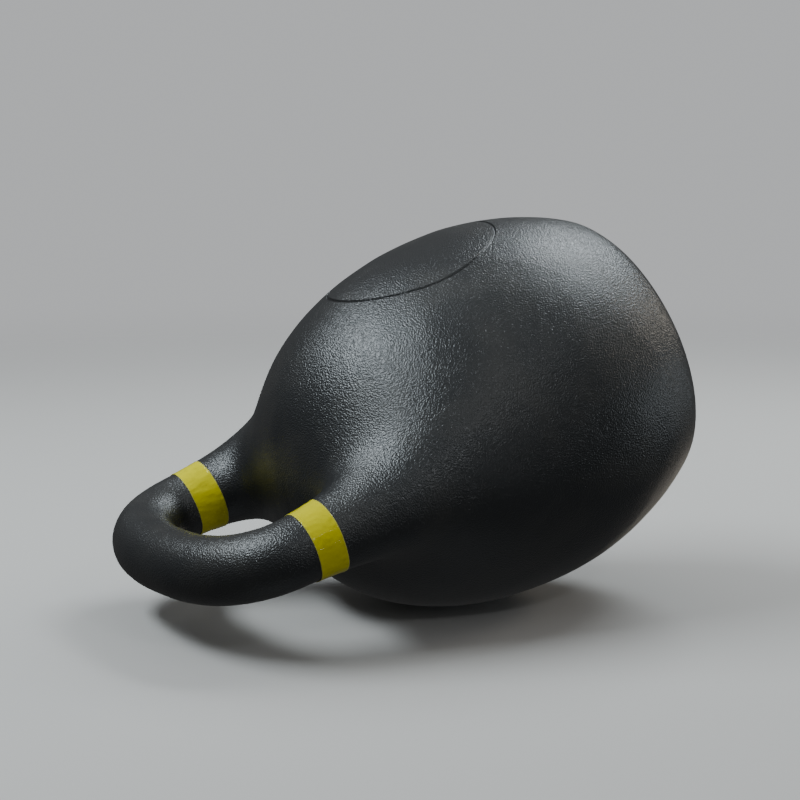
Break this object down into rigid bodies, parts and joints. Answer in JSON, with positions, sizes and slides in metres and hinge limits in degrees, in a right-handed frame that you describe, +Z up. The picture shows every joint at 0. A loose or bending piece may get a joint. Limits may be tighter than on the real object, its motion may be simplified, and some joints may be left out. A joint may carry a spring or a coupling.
{
  "type": "kettlebell",
  "caption": "Cast-iron kettlebell in black powder coat, with a flat base, a rounded loop handle on flared horns, and a yellow tape band round each horn",
  "frame": {"origin": "centre of the flat base, on the floor the kettlebell stands on", "axes": "+Z up from the base to the top of the handle; X runs from horn to horn; -Y is the front face"},
  "size_m": [0.2138, 0.1986, 0.306],
  "materials": {
    "black_powder_coat": "satin black powder coat with a fine grain",
    "yellow_tape": "glossy lemon-yellow vinyl tape"
  },
  "bodies": {
    "root": {"kettlebell_casting": "black_powder_coat", "tape_band_left": "yellow_tape", "tape_band_right": "yellow_tape"}
  },
  "joints": []
}
